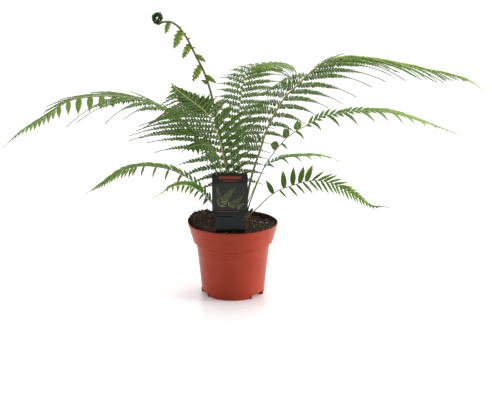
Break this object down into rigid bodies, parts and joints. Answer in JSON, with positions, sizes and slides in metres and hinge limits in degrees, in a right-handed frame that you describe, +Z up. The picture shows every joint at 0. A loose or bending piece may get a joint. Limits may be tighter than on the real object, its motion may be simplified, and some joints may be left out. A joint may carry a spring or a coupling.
{
  "type": "potted tree fern",
  "caption": "Young tree fern with arching feathery fronds and a coiled crozier, in a tapered plastic nursery pot with soil and a plain plant label.",
  "frame": {"origin": "middle of the pot's flat foot, on the surface that it stands on", "axes": "+Z up; -Y the side with the label; +X towards the longest right-hand frond"},
  "size_m": [0.6785, 0.3301, 0.4017],
  "materials": {
    "pot": "satin terracotta-coloured moulded plastic",
    "soil": "moist dark potting soil of bark and peat, rough and crumbly",
    "crown": "fibrous stump with brown hairs",
    "label": "printed black plastic card with a soft sheen",
    "leaf": "thin green leaflets with a faint waxy sheen"
  },
  "bodies": {
    "root": {"pot": "pot", "soil": "soil", "crown": "crown", "label": "label", "frond_left_long": "leaf", "frond_left_low": "leaf", "frond_left_small": "leaf", "frond_front": "leaf", "frond_front_short": "leaf", "frond_right_long": "leaf", "frond_right_mid": "leaf", "frond_right_small": "leaf", "frond_right_low": "leaf", "frond_back": "leaf", "frond_crozier": "leaf"}
  },
  "joints": []
}
